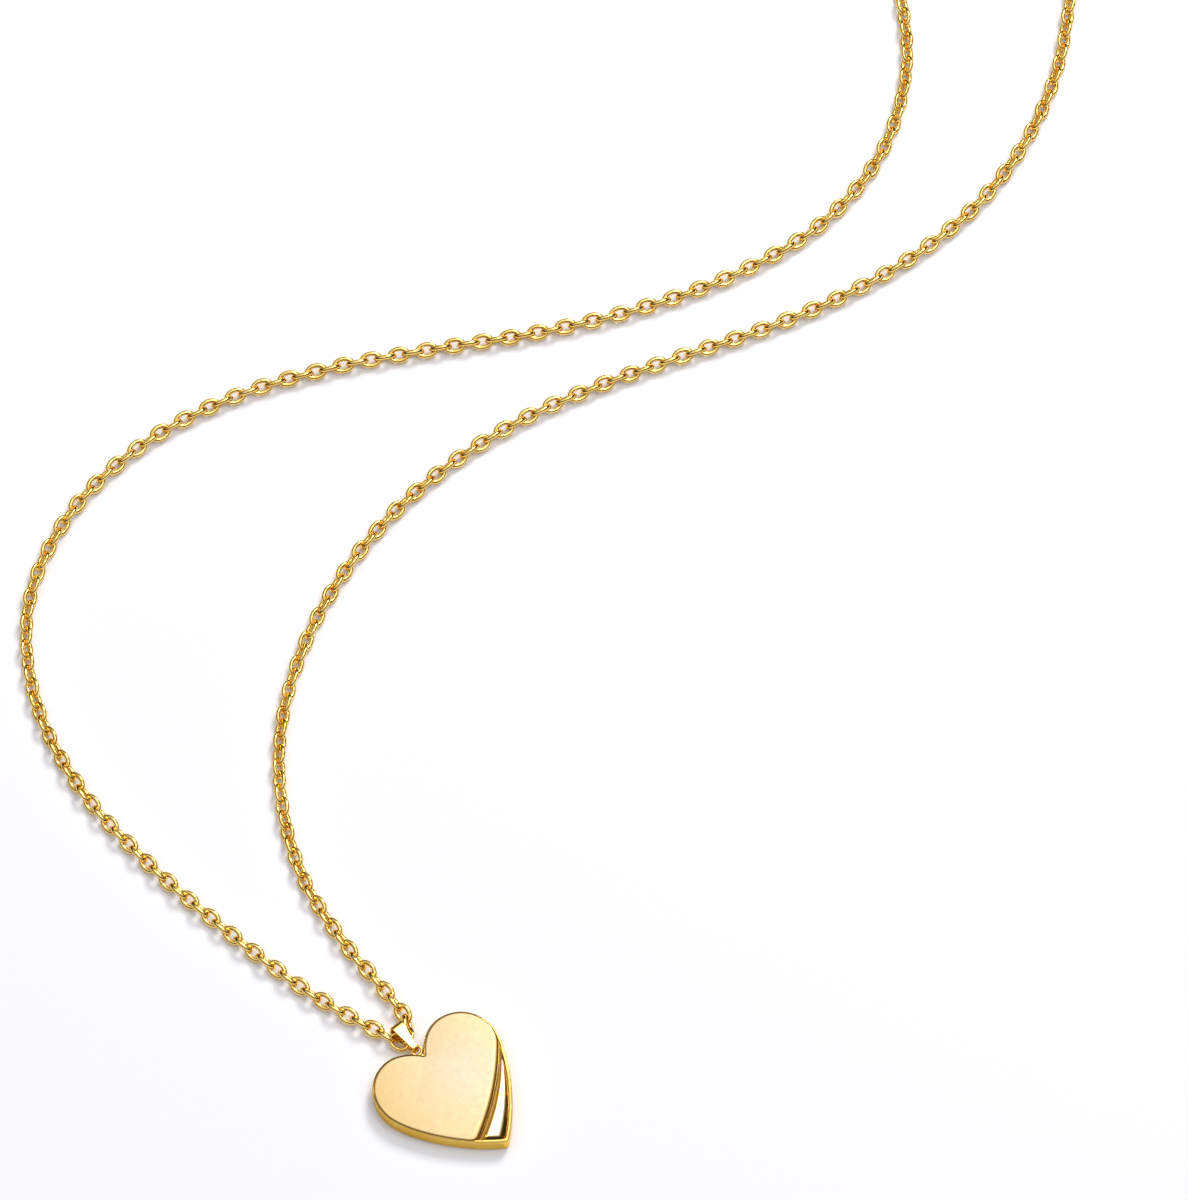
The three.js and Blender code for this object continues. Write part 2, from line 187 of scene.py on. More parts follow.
# Where the painted sheen is palest, as shares across and along the plate, and how far it reaches.
SATIN_SHEEN_CENTRE = (0.75, 0.55)
SATIN_SHEEN_REACH = 12.5
SATIN_MOTTLE = 0.4
SPRING_STEEL = [(0.3, (0.48, 0.47, 0.45)), (0.7, (0.68, 0.67, 0.65))]
FLOOR_WHITE = (0.97, 0.97, 0.97)
FLOOR_LIFT = 0.06
DRIFT_SCALE = 260
POLISH_SCALE = 1500
HAIRLINE_SCALE = 5200
HAIRLINE_STRETCH = (1, 0.18, 1)
HAIRLINE_DEPTH = 0.006 * MM
HAIRLINE_STRENGTH = 0.12
GRAIN_DEPTH = 0.01 * MM
GRAIN_STRENGTH = 0.35


def new_material(name, roughness, metallic=1.0):
    material = bpy.data.materials.new(name)
    material.use_nodes = True
    shader = material.node_tree.nodes["Principled BSDF"]
    shader.inputs["Metallic"].default_value = metallic
    shader.inputs["Roughness"].default_value = roughness
    return material, shader


def noise(tree, scale, detail, stretch=(1, 1, 1)):
    """A noise pattern fixed to the object."""
    nodes, links = tree.nodes, tree.links
    place = nodes.new("ShaderNodeTexCoord")
    mapping = nodes.new("ShaderNodeMapping")
    mapping.inputs["Scale"].default_value = stretch
    pattern = nodes.new("ShaderNodeTexNoise")
    pattern.inputs["Scale"].default_value = scale
    pattern.inputs["Detail"].default_value = detail
    links.new(place.outputs["Object"], mapping.inputs["Vector"])
    links.new(mapping.outputs["Vector"], pattern.inputs["Vector"])
    return pattern.outputs["Fac"]


def ramp(tree, factor, stops):
    """Colours a pattern by a list of (position, colour)."""
    node = tree.nodes.new("ShaderNodeValToRGB")
    elements = node.color_ramp.elements
    while len(elements) < len(stops):
        elements.new(0.5)
    for element, (position, colour) in zip(elements, stops):
        element.position = position
        element.color = (*colour, 1)
    tree.links.new(factor, node.inputs["Fac"])
    return node.outputs["Color"]


def spread_to(tree, factor, low, high):
    """Maps a pattern's middle values onto the span from low to high."""
    node = tree.nodes.new("ShaderNodeMapRange")
    node.inputs["From Min"].default_value = 0.3
    node.inputs["From Max"].default_value = 0.7
    node.inputs["To Min"].default_value = low
    node.inputs["To Max"].default_value = high
    tree.links.new(factor, node.inputs["Value"])
    return node.outputs["Result"]


def bump(tree, height, distance, strength):
    """A surface roughened by a pattern, as deep as distance in metres."""
    node = tree.nodes.new("ShaderNodeBump")
    node.inputs["Distance"].default_value = distance
    node.inputs["Strength"].default_value = strength
    tree.links.new(height, node.inputs["Height"])
    return node.outputs["Normal"]


def gold_drift(tree, light, deep):
    """A gold colour that wanders slowly between a light and a deep one."""
    return ramp(tree, noise(tree, DRIFT_SCALE, 3), [(0.35, deep), (0.65, light)])


def fade_by_height(tree, low, high, low_colour, high_colour):
    """A colour that turns into another one between two heights. high_colour is a socket."""
    nodes, links = tree.nodes, tree.links
    place = nodes.new("ShaderNodeTexCoord")
    split = nodes.new("ShaderNodeSeparateXYZ")
    links.new(place.outputs["Object"], split.inputs["Vector"])
    share = nodes.new("ShaderNodeMapRange")
    share.inputs["From Min"].default_value = low * MM
    share.inputs["From Max"].default_value = high * MM
    links.new(split.outputs["Z"], share.inputs["Value"])
    blend = nodes.new("ShaderNodeMix")
    blend.data_type = "RGBA"
    blend.inputs["A"].default_value = (*low_colour, 1)
    links.new(share.outputs["Result"], blend.inputs["Factor"])
    links.new(high_colour, blend.inputs["B"])
    return blend.outputs["Result"]


def mirror_gold():
    """Mirror-polished gold with a painted reflection: palest on the flat floor, as a painted highlight, and
    painted shade of a deeper yellow where it curls up to the rim.
    """
    material, shader = new_material("mirror_gold", 0.09)
    tree = material.node_tree
    shader.inputs["Specular Tint"].default_value = (*EDGE_GOLD, 1)
    low, high = (MIRROR_TOP + rise for rise in MIRROR_SHADE_RISE)
    # Painted reflection: pale on the flat floor, painted shade of deeper yellow higher up the curl.
    colour = fade_by_height(tree, low, high, MIRROR_PAINTED_HIGHLIGHT, gold_drift(tree, *MIRROR_CURL_SHADE))
    tree.links.new(colour, shader.inputs["Base Color"])
    tree.links.new(spread_to(tree, noise(tree, POLISH_SCALE, 4), 0.07, 0.11), shader.inputs["Roughness"])
    return material


def polished_gold(name, colours, roughness, wear):
    """Polished yellow gold: slow colour drift, patches of finer and duller polish, hairline wear."""
    material, shader = new_material(name, roughness)
    tree = material.node_tree
    tree.links.new(gold_drift(tree, *colours), shader.inputs["Base Color"])
    shader.inputs["Specular Tint"].default_value = (*EDGE_GOLD, 1)
    dull = spread_to(tree, noise(tree, POLISH_SCALE, 4), roughness - wear, roughness + wear)
    tree.links.new(dull, shader.inputs["Roughness"])
    hairlines = noise(tree, HAIRLINE_SCALE, 2, HAIRLINE_STRETCH)
    tree.links.new(bump(tree, hairlines, HAIRLINE_DEPTH, HAIRLINE_STRENGTH), shader.inputs["Normal"])
    return material


def satin_gold():
    """Satin gold: a very fine blasted grain, with a painted sheen that is paler in the middle, and painted
    shade of a deeper gold on the rounded edges.
    """
    material, shader = new_material("satin_gold", 0.46)
    shader.inputs["Specular Tint"].default_value = (*EDGE_GOLD, 1)
    tree = material.node_tree
    nodes, links = tree.nodes, tree.links
    place = nodes.new("ShaderNodeTexCoord")
    centre = nodes.new("ShaderNodeMapping")
    centre.vector_type = "TEXTURE"
    low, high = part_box("satin_front_plate")
    across, along = SATIN_SHEEN_CENTRE
    centre.inputs["Location"].default_value = (
        (1 - across) * low.x + across * high.x,
        (1 - along) * low.y + along * high.y,
        high.z,
    )
    centre.inputs["Scale"].default_value = [SATIN_SHEEN_REACH * MM] * 3
    links.new(place.outputs["Object"], centre.inputs["Vector"])
    # Painted sheen: paler towards a point on the plate's face, deeper gold away from it.
    sheen_pool = nodes.new("ShaderNodeTexGradient")
    sheen_pool.gradient_type = "SPHERICAL"
    links.new(centre.outputs["Vector"], sheen_pool.inputs["Vector"])
    sheen_colour = ramp(tree, sheen_pool.outputs["Fac"], SATIN_PAINTED_SHEEN)
    mottle = nodes.new("ShaderNodeMix")
    mottle.data_type = "RGBA"
    mottle.blend_type = "MULTIPLY"
    mottle.inputs["Factor"].default_value = SATIN_MOTTLE
    # Painted shade: the rounded edge below the plate's top is coloured a deeper gold.
    edge_low, edge_high = (PLATE_TOP - drop for drop in SATIN_SHADE_DEPTHS)
    links.new(fade_by_height(tree, edge_low, edge_high, SATIN_EDGE_SHADE, sheen_colour), mottle.inputs["A"])
    links.new(ramp(tree, noise(tree, 3200, 5), SATIN_GRAIN), mottle.inputs["B"])
    links.new(mottle.outputs["Result"], shader.inputs["Base Color"])
    links.new(spread_to(tree, noise(tree, 2600, 4), 0.42, 0.52), shader.inputs["Roughness"])
    grain = bump(tree, noise(tree, 9000, 3), GRAIN_DEPTH, GRAIN_STRENGTH)
    links.new(grain, shader.inputs["Normal"])
    return material


def steel():
    """Bright drawn spring steel."""
    material, shader = new_material("spring_steel", 0.28)
    tree = material.node_tree
    tree.links.new(ramp(tree, noise(tree, 3000, 3), SPRING_STEEL), shader.inputs["Base Color"])
    tree.links.new(spread_to(tree, noise(tree, 6000, 3), 0.22, 0.36), shader.inputs["Roughness"])
    return material


def floor_white():
    material, shader = new_material("floor_white", 0.9, 0.0)
    shader.inputs["Specular IOR Level"].default_value = 0.0
    shader.inputs["Base Color"].default_value = (*FLOOR_WHITE, 1)
    shader.inputs["Emission Color"].default_value = (1, 1, 1, 1)
    shader.inputs["Emission Strength"].default_value = FLOOR_LIFT
    return material


# ---------------------------------------------------------------- chain

WIRE_RADIUS = 0.255 * MM
PITCH = 1.547 * MM
PITCH_SLACK = 0.02 * MM
# Half the length and width of the oval along the middle of a link's wire.
LINK_HALF = (1.03 * MM, 0.65 * MM)
# The two links that the bail swings against are slimmer, to leave it room.
SLIM_LINKS = ("bail_link", "left_link_1")
SLIM_WIRE_RADIUS = 0.2 * MM
SLIM_LINK_HALF = (0.984 * MM, 0.75 * MM)
LINK_STEPS = 40
LINK_SIDES = 14
# Degrees: how far links lean on the floor, how much that follows the chain's direction, and their play.
LINK_LEAN = 45
LINK_LEAN_SWING = 21
LINK_PLAY = 3.0
ROUTE_STEPS = 40
# Each strand's points (x, y) from the bail outwards to the clasp.
LEFT_ROUTE = [
    (-12.0, 8.2), (-14.1, 9.6), (-22.8, 16.7), (-31.1, 24.4), (-38.4, 33.1), (-43.3, 43.3), (-44.3, 54.5),
    (-40.4, 65.0), (-32.8, 73.5), (-23.2, 79.3), (-12.4, 83.0), (-1.3, 85.3), (9.8, 87.3),
    (20.8, 90.2), (31.3, 94.4), (40.9, 100.6), (47.7, 109.4), (50.8, 120.2), (50.2, 130.6),
    (48.6, 140.0), (47.5, 148.5), (48.2, 154.2), (50.4, 158.3),
]
RIGHT_ROUTE = [
    (-8.5, 12.9), (-9.4, 14.1), (-14.2, 21.9), (-16.8, 31.0), (-17.0, 40.2), (-14.8, 49.4), (-10.8, 57.9),
    (-5.3, 65.5), (1.6, 72.0), (9.3, 77.2), (17.8, 81.3), (26.5, 84.7), (35.4, 88.1),
    (43.8, 92.1), (51.7, 97.2), (58.6, 103.6), (63.9, 111.4), (67.4, 120.0), (69.2, 129.6),
    (70.9, 139.5), (71.8, 148.0), (71.4, 153.8), (69.5, 158.3),
]


def link_template(half=LINK_HALF, wire=WIRE_RADIUS):
    """One oval link of round wire, lying flat at the origin with its length along x."""
    angle = np.linspace(0, 2 * np.pi, LINK_STEPS, endpoint=False)
    line = np.stack([half[0] * np.cos(angle), half[1] * np.sin(angle), 0 * angle], 1)
    return sweep(line, wire, LINK_SIDES, True)


def link_axes(name):
    """A CAD link's middle, and its long, wide and thin directions as the columns of a matrix."""
    points = np.array([vertex.co for vertex in NODES[name].data.vertices], float)
    middle = points.mean(0)
    axes = np.linalg.eigh((points - middle).T @ (points - middle))[1][:, ::-1]
    if np.linalg.det(axes) < 0:
        axes[:, 2] *= -1
    return middle, axes


def smooth_route(points):
    """The frame's own curve through a route: a centripetal Catmull-Rom spline, sampled closely."""
    points = np.array(points, float)
    first = 2 * points[0] - points[1]
    last = 2 * points[-1] - points[-2]
    padded = np.vstack([first, points, last])
    line = []
    for p0, p1, p2, p3 in zip(padded, padded[1:], padded[2:], padded[3:]):
        d0, d1, d2 = (np.linalg.norm(b - a) ** 0.5 for a, b in ((p0, p1), (p1, p2), (p2, p3)))
        m1 = ((p1 - p0) / d0 - (p2 - p0) / (d0 + d1) + (p2 - p1) / d1) * d1
        m2 = ((p2 - p1) / d1 - (p3 - p1) / (d1 + d2) + (p3 - p2) / d2) * d1
        for t in np.linspace(0, 1, ROUTE_STEPS, endpoint=False):
            line.append(
                (2 * t**3 - 3 * t**2 + 1) * p1 + (t**3 - 2 * t**2 + t) * m1
                + (3 * t**2 - 2 * t**3) * p2 + (t**3 - t**2) * m2
            )
    line.append(points[-1])
    return np.array(line)


def along_line(line, distances):
    """Points at given distances along a line, and the line's whole length."""
    steps = np.linalg.norm(np.diff(line, axis=0), axis=1)
    run = np.concatenate([[0], np.cumsum(steps)])
    return np.stack([np.interp(distances, run, line[:, k]) for k in range(line.shape[1])], 1), run[-1]


def link_roll(heading, second_set):
    """The turn about its own length of a link on the floor, in radians. Neighbours lie a quarter turn
    apart, and lean so that neither stands upright."""
    lean = math.radians(-LINK_LEAN - LINK_LEAN_SWING * math.cos(heading))
    return lean + (math.pi / 2 if second_set else 0)


def make_strand(name, route, near_link, far_link, starts_second, seed, material, replaced):
    """The free links of one strand as one cord, between its links at the bail and those at the clasp."""
    near, far = link_axes(near_link)[0][:2], link_axes(far_link)[0][:2]
    line = smooth_route([near, *(np.array(route) * MM), far])
    _, total = along_line(line, [0])
    gaps = 2 * math.ceil(total / PITCH / 2 - 0.5) + 1
    while total / gaps > PITCH + PITCH_SLACK:
        gaps += 2
    marks = np.linspace(0, total, gaps + 1)
    places, _ = along_line(line, marks)
    before, _ = along_line(line, marks - PITCH / 3)
    after, _ = along_line(line, marks + PITCH / 3)
    points, faces = link_template()
    random = np.random.default_rng(seed)
    vertices, quads, path = [], [], []
    for index in range(1, gaps):
        heading = math.atan2(*(after[index] - before[index])[::-1])
        second = (index % 2 == 1) == starts_second
        roll = link_roll(heading, second) + math.radians(random.uniform(-LINK_PLAY, LINK_PLAY))
        height = WIRE_RADIUS + LINK_HALF[1] * max(abs(math.sin(roll)), abs(math.cos(roll)))
        turn = Matrix.Rotation(heading, 3, "Z") @ Matrix.Rotation(roll, 3, "X")
        centre = np.array([*places[index], height])
        quads += [tuple(v + len(vertices) * len(points) for v in face) for face in faces]
        vertices.append(points @ np.array(turn).T + centre)
        path.append(centre)
    piece = add_piece(name, np.concatenate(vertices), quads, material)
    finish_piece(piece, "chain", "chain_gold", replaced)


def make_link(node, material):
    """One link in the place of a CAD link."""
    middle, axes = link_axes(node)
    if node in SLIM_LINKS:
        points, faces = link_template(SLIM_LINK_HALF, SLIM_WIRE_RADIUS)
    else:
        points, faces = link_template()
    piece = add_piece(node + "_wire", points @ axes.T + middle, faces, material)
    finish_piece(piece, "chain", "chain_gold", node)


# ---------------------------------------------------------------- heart

HEART_TURN = math.radians(42.5)
# Three curves down the heart's right half, each with its two ends and the two handles between them.
HEART_HALF = [
    [(0, 2.2), (0.6, 3.1), (1.94, 4.33), (3.52, 4.33)],
    [(3.52, 4.33), (5.72, 4.33), (7.56, 2.63), (7.56, 0)],
    [(7.56, 0), (7.56, -2.9), (3.5, -8.6), (0, -10.93)],
]
OUTLINE_STEPS = 60
OUTLINE_POINTS = 150
NOTCH_Y = 2.2
TIP_Y = -10.93
TIP_HALF_ANGLE = math.atan2(3.5, 2.33)
TIP_RADIUS = 0.5
TIP_STEPS = 10
DISC_STEPS = 720
ARC_STEPS = 60
BEND_STEPS = 14
NEAR_MIDDLE = 0.04
GAP = 0.04
CASE_TOP = 2.0
PLATE_BOTTOM = 1.6
PLATE_INSET = 0.16
PLATE_TOP = 2.1
# How far the plate's two rounded corners reach from each corner's point, the upper one first.
PLATE_CORNER_REACH = (0.9, 0.6)
LEDGE_Z = 1.72
GROOVE_Z = 1.56
RECESS_FLOOR = 1.2
RIM_WIDTH = 0.42
CAVITY_WALL = 0.9
CAVITY_TOP = 0.9
BACK_SEAT_INSET = 0.5
BACK_SEAT_TOP = 0.34
LUG_HALF = 0.17
LUG_START = 1.6
LUG_HALF_THICK = 0.13
# Each arc is a circle: the middle's x and y, and the radius.
PLATE_ARC = (-14.4, 17.2, 28.57)
CRESCENT_ARC = (-11.6, 12.35, 23.56)
RIDGE_WIDTH = 0.17
RIDGE_TOP = 1.9
RIDGE_ROUND = 0.045
RIDGE_SPAN = (-75, 5)
RIDGE_STEPS = 160
RIDGE_TRIM = 0.005
GROOVE_WIDTH = 0.1
RING_STEPS = 72
RING_SIDES = 20
PIVOT_Z = 1.27
# The eye ring's middle along y, its radius to the middle of the wire, and the wire's radius.
EYE = (3.3, 0.52, 0.15)
# Cutters reach well past the surface they cut.
BELOW = -1
ABOVE = PLATE_TOP + 1
# Profiles are rows of (inset from the heart's outline, height), from the bottom up.
SHELL_PROFILE = [
    (0.16, 0.0), (0.09, 0.02), (0.035, 0.06), (0.008, 0.12), (0.0, 0.2), (0.0, 1.84),
    (0.006, 1.89), (0.024, 1.935), (0.055, 1.97), (0.1, 1.992), (0.15, CASE_TOP),
]
RECESS_PROFILE = [
    (RIM_WIDTH, RECESS_FLOOR), (RIM_WIDTH, 1.88), (0.405, 1.93), (0.37, 1.97), (0.32, 1.995),
    (0.26, 2.01), (0.26, ABOVE),
]
BACK_PROFILE = [(0.6, 0.0), (0.565, 0.012), (0.545, 0.04), (0.54, 0.08), (0.54, 0.3)]
# The slope cut along the plate's arc: (growth of the arc's radius, height).
STEP_PROFILE = [(GAP, PLATE_BOTTOM), (0.08, LEDGE_Z - 0.06), (0.2, LEDGE_Z + 0.02)]
# The satin plate's edge: (inset round the heart, inset from the arc, height).
PLATE_PROFILE = [
    (0.0, 0.0, PLATE_BOTTOM), (0.0, 0.0, 1.78), (0.0, 0.02, 1.84), (0.0, 0.06, 1.91), (0.006, 0.12, 1.97),
    (0.024, 0.19, 2.02), (0.055, 0.28, 2.058), (0.1, 0.39, 2.083), (0.15, 0.52, 2.096),
    (0.2, 0.66, PLATE_TOP),
]
# Points along the plate's edge: to the notch, past it, round the low corner, the arc, the high corner.
PLATE_EDGE_POINTS = (110, 150, 24, 70, 24)


def resample(line, count):
    """The same line through evenly spaced points."""
    line = np.asarray(line, float)
    run = np.concatenate([[0], np.cumsum(np.linalg.norm(np.diff(line, axis=0), axis=1))])
    at = np.linspace(0, run[-1], count)
    return np.stack([np.interp(at, run, line[:, 0]), np.interp(at, run, line[:, 1])], 1)


def heart_outline(inset):
    """Points round the heart, anticlockwise from the notch, moved inwards by inset."""
    half = []
    for corners in HEART_HALF:
        p0, p1, p2, p3 = (np.array(corner, float) for corner in corners)
        for t in np.arange(OUTLINE_STEPS) / OUTLINE_STEPS:
            s = 1 - t
            point = s**3 * p0 + 3 * s * s * t * p1 + 3 * s * t * t * p2 + t**3 * p3
            slope = 3 * s * s * (p1 - p0) + 6 * s * t * (p2 - p1) + 3 * t * t * (p3 - p2)
            slope /= np.linalg.norm(slope)
            half.append((point[0] + inset * slope[1], point[1] - inset * slope[0]))
    middle = TIP_Y + (inset + TIP_RADIUS) / math.sin(TIP_HALF_ANGLE)
    turn = np.linspace(-TIP_HALF_ANGLE, -math.pi / 2, TIP_STEPS)
    tip = np.stack([TIP_RADIUS * np.cos(turn), middle + TIP_RADIUS * np.sin(turn)], 1)
    tip[-1, 0] = 0
    right = [point for point in half if point[0] > NEAR_MIDDLE and point[1] > tip[0, 1]]
    right = resample([(0, NOTCH_Y - inset), *right, *tip], OUTLINE_POINTS)
    left = right[1:-1] * (-1, 1)
    return np.vstack([right[:1], left, right[:0:-1]])


def disc_outline(arc, grow):
    x, y, radius = arc
    angle = np.linspace(0, 2 * np.pi, DISC_STEPS, endpoint=False)
    return np.stack([x + (radius + grow) * np.cos(angle), y + (radius + grow) * np.sin(angle)], 1)


def loft(name, rows, material=None):
    """A closed solid through outlines [(points, z), ...] from the bottom up, in the heart's frame."""
    count = len(rows[0][0])
    vertices = np.concatenate([np.column_stack([points, np.full(count, z)]) for points, z in rows])
    return add_piece(name, vertices * MM, tube_faces(len(rows), count, False), material)


def heart_loft(name, profile, material=None):
    """A closed solid whose outline is the heart's, inset as the profile says."""
    return loft(name, [(heart_outline(inset), z) for inset, z in profile], material)


def disc_loft(arc, profile):
    """A disc whose radius grows with height as the profile says."""
    return loft("disc", [(disc_outline(arc, grow), z) for grow, z in profile])


def disc_prism(arc, grow):
    return disc_loft(arc, [(grow, 0), (grow, ABOVE + 0.1)])


def place_heart(piece):
    """Turns a piece from the heart's own frame into the necklace's."""
    piece.data.transform(Matrix.Rotation(HEART_TURN, 4, "Z"))
    return piece


def box_piece(name, low, high):
    corners = np.array([(x, y, z) for z in (low[2], high[2]) for x, y in (
        (low[0], low[1]), (high[0], low[1]), (high[0], high[1]), (low[0], high[1]))])
    return add_piece(name, corners * MM, tube_faces(2, 4, False), None)


def heart_prism(inset, low, high):
    return heart_loft("prism", [(inset, low), (inset, high)])


def make_heart_shell(material, ledge_shade_material):
    """The hollow case: the plate's seat, the ledge with its groove, and the crescent's recess."""
    shell = heart_loft("heart_shell", SHELL_PROFILE, material)
    seat_edge = plate_outline(-GAP, -GAP)
    combine(shell, loft("seat", [(seat_edge, PLATE_BOTTOM - GAP), (seat_edge, ABOVE)]), "DIFFERENCE")
    band = heart_prism(RIM_WIDTH / 2, LEDGE_Z, ABOVE)
    combine(band, disc_prism(CRESCENT_ARC, 0), "INTERSECT")
    combine(shell, band, "DIFFERENCE")
    step = disc_loft(PLATE_ARC, STEP_PROFILE)
    combine(step, heart_prism(RIM_WIDTH, BELOW, ABOVE), "INTERSECT")
    combine(shell, step, "DIFFERENCE")
    groove = heart_prism(RIM_WIDTH, GROOVE_Z, ABOVE)
    combine(groove, disc_prism(CRESCENT_ARC, -RIDGE_WIDTH - GAP), "INTERSECT")
    combine(groove, disc_prism(CRESCENT_ARC, -RIDGE_WIDTH - GAP - GROOVE_WIDTH), "DIFFERENCE")
    combine(shell, groove, "DIFFERENCE")
    recess = heart_loft("recess", RECESS_PROFILE)
    combine(recess, disc_prism(CRESCENT_ARC, 0), "DIFFERENCE")
    combine(shell, recess, "DIFFERENCE")
    combine(shell, heart_prism(CAVITY_WALL, BELOW, CAVITY_TOP), "DIFFERENCE")
    combine(shell, heart_prism(BACK_SEAT_INSET, BELOW, BACK_SEAT_TOP), "DIFFERENCE")
    lug_end = EYE[0] - EYE[1] - EYE[2] - GAP
    lug_low = (-LUG_HALF, LUG_START, PIVOT_Z - LUG_HALF_THICK)
    lug_high = (LUG_HALF, lug_end, PIVOT_Z + LUG_HALF_THICK)
    combine(shell, box_piece("lug", lug_low, lug_high), "UNION")
    only_material(shell, material, ledge_shade_material)
    # Painted shade: faces of the step, ledge and groove between the plate's arc and the mirror take the
    # darker second material.
    for face in shell.data.polygons:
        x, y, z = (value / MM for value in face.center)
        beyond_plate = math.hypot(x - PLATE_ARC[0], y - PLATE_ARC[1]) > PLATE_ARC[2]
        before_mirror = math.hypot(x - CRESCENT_ARC[0], y - CRESCENT_ARC[1]) < CRESCENT_ARC[2]
        if beyond_plate and before_mirror and GROOVE_Z - 0.01 < z < LEDGE_Z + 0.02:
            face.material_index = 1
    finish_piece(place_heart(smooth(shell, 28)), "pendant", "polished_gold", "heart_case")


def crossings(outline, arc, grow):
    """Where a closed outline crosses a circle: the two places as (index, share of the next step)."""
    x, y, radius = arc
    away = np.hypot(outline[:, 0] - x, outline[:, 1] - y) - (radius + grow)
    found = []
    for i in range(len(outline)):
        j = (i + 1) % len(outline)
        if away[i] * away[j] < 0:
            found.append((i, away[i] / (away[i] - away[j]), away[j] > 0))
    return found


def split_by_arc(outline, arc, grow):
    """The parts of an outline inside and outside a circle, each running anticlockwise, and the
    circle's stretch that joins the inside part's end to its start."""
    leaving = entering = None
    for i, share, outwards in crossings(outline, arc, grow):
        point = outline[i] + share * (outline[(i + 1) % len(outline)] - outline[i])
        if outwards:
            leaving = (i, point)
        else:
            entering = (i, point)

    def stretch(start, end):
        count = (end[0] - start[0]) % len(outline)
        middle = [outline[(start[0] + 1 + k) % len(outline)] for k in range(count)]
        return np.array([start[1], *middle, end[1]])

    inside = stretch(entering, leaving)
    outside = stretch(leaving, entering)
    x, y, radius = arc
    start, end = (math.atan2(p[1] - y, p[0] - x) for p in (leaving[1], entering[1]))
    angle = np.linspace(start, end, ARC_STEPS)
    circle = np.stack([x + (radius + grow) * np.cos(angle), y + (radius + grow) * np.sin(angle)], 1)
    return inside, outside, circle


def rounded_joint(before, after, reach):
    """Two lines that meet, each cut back by reach and joined by a smooth bend."""
    before_run, after_run = (
        np.concatenate([[0], np.cumsum(np.linalg.norm(np.diff(line, axis=0), axis=1))])
        for line in (before[::-1], after)
    )
    corner = after[0]
    start = np.array([np.interp(reach, before_run, before[::-1, k]) for k in (0, 1)])
    end = np.array([np.interp(reach, after_run, after[:, k]) for k in (0, 1)])
    t = np.linspace(0, 1, BEND_STEPS)[:, None]
    bend = (1 - t) ** 2 * start + 2 * t * (1 - t) * corner + t**2 * end
    kept_before = before[: len(before) - np.searchsorted(before_run, reach)]
    kept_after = after[np.searchsorted(after_run, reach):]
    return kept_before, bend, kept_after


def plate_outline(inset, arc_inset):
    """The satin plate's edge: round the heart to the arc, and back along it, with rounded corners.
    The notch stays a point."""
    inside, _, circle = split_by_arc(heart_outline(PLATE_INSET + inset), PLATE_ARC, -arc_inset)
    notch = int(np.argmin(np.hypot(inside[:, 0], inside[:, 1] - NOTCH_Y + PLATE_INSET + inset)))
    up_to_notch, past_notch = inside[: notch + 1], inside[notch:]
    past_notch, low_bend, circle = rounded_joint(past_notch, circle, PLATE_CORNER_REACH[1])
    circle, high_bend, up_to_notch = rounded_joint(circle, up_to_notch, PLATE_CORNER_REACH[0])
    stretches = (up_to_notch, past_notch, low_bend, circle, high_bend)
    return np.vstack([
        resample(line, count)[:-1] for line, count in zip(stretches, PLATE_EDGE_POINTS)
    ])


def make_satin_plate(material):
    rows = [(plate_outline(inset, arc_inset), z) for inset, arc_inset, z in PLATE_PROFILE]
    plate = loft("satin_face", rows, material)
    finish_piece(place_heart(smooth(plate, 30)), "pendant", "satin_gold", "satin_front_plate")


# The mirror's two heights, then how far its curl reaches in from the rim: along the heart's side as a
# share of the crescent's width there, and along its lower edge in millimetres. A slope is a tangent.
MIRROR_TOP = 1.3
MIRROR_UNDER = 1.24
MIRROR_SIDE_REACH = 0.45
MIRROR_SIDE_SLOPE = 0.76
MIRROR_LOW_REACH = 0.7
MIRROR_LOW_SLOPE = 0.55
MIRROR_BLEND = 5
MIRROR_LOW_COLUMNS = 38
MIRROR_COLUMNS = 91
MIRROR_ROWS = 24


def distance_to_line(points, line):
    """How far each point lies from a chain of straight pieces."""
    start, along = line[:-1], np.diff(line, axis=0)
    away = points[:, None] - start[None]
    share = np.clip((away * along).sum(2) / (along**2).sum(1), 0, 1)
    return np.linalg.norm(away - share[..., None] * along, axis=2).min(1)


def curl_height(distance, reach, slope):
    """The height of a surface that starts to curl up at reach from an edge and meets it at slope."""
    t = np.clip(1 - distance / reach, 0, 1)
    return slope * reach * (t**2 - t**3 / 3)


